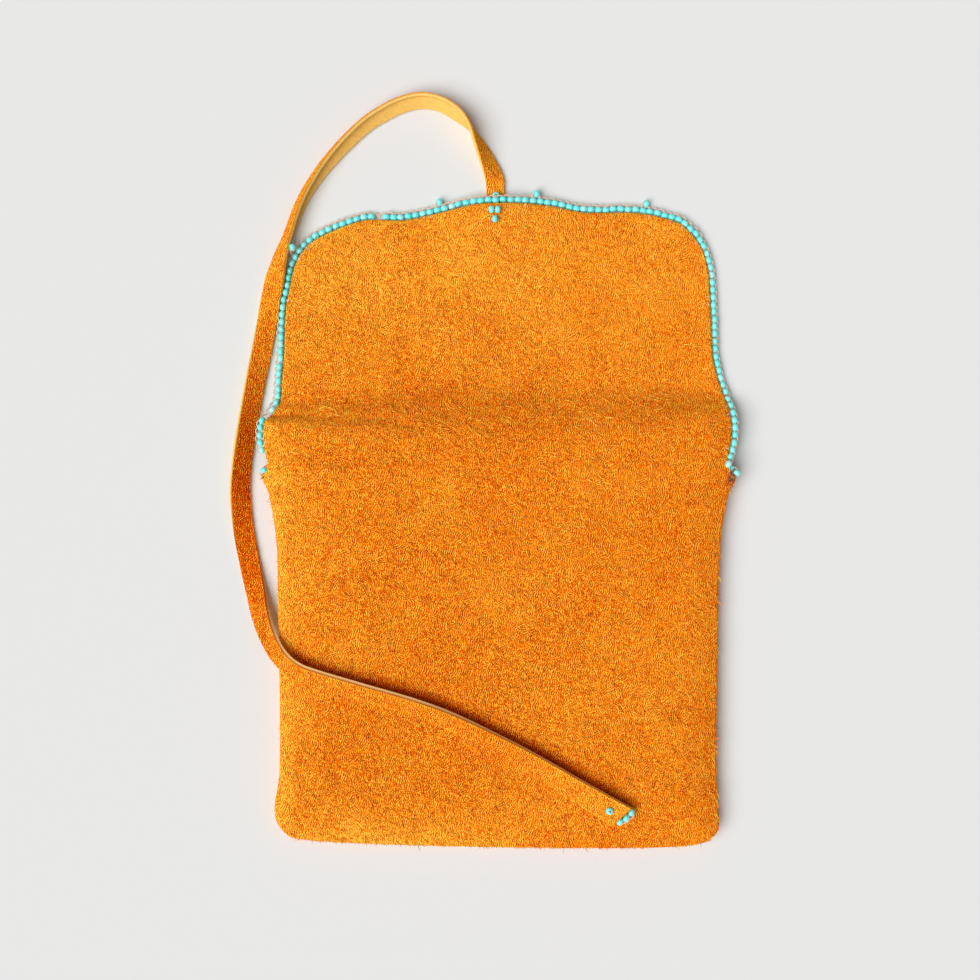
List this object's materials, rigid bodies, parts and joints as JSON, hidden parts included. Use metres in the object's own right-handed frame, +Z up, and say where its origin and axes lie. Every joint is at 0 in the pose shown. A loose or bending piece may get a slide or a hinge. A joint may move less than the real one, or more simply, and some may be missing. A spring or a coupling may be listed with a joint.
{
  "type": "beaded leather pouch",
  "caption": "Small flat suede pouch with a flap, seed-bead edging and a flat leather tie, lying on its front with the flap opened out.",
  "frame": {"origin": "middle of the pouch's body, on the flat underside of the front panel that it lies on", "axes": "+X across the pouch, +Y from its bottom towards the flap's tip, +Z up from the surface that it lies on, out of the back panel"},
  "size_m": [0.1486, 0.2189, 0.0119],
  "materials": {
    "rust_suede": "rust-orange suede with a short mottled nap",
    "turquoise_beads": "opaque pale turquoise glass, glossy",
    "thread": "fine pale peach beading thread",
    "cut_leather": "lighter tan grain side and cut edges of the tie"
  },
  "bodies": {
    "root": {"back_panel": "rust_suede", "front_panel": "rust_suede", "flap_edge_beads": "turquoise_beads", "mouth_edge_beads": "turquoise_beads", "picot_bead_1": "turquoise_beads", "picot_bead_2": "turquoise_beads", "picot_bead_3": "turquoise_beads", "picot_bead_4": "turquoise_beads", "anchor_bead_1": "turquoise_beads", "anchor_bead_2": "turquoise_beads", "anchor_bead_3": "turquoise_beads", "anchor_bead_4": "turquoise_beads", "tie": "rust_suede", "tie_bead_1": "turquoise_beads", "tie_bead_2": "turquoise_beads", "tie_bead_3": "turquoise_beads", "tie_bead_4": "turquoise_beads"}
  },
  "joints": []
}
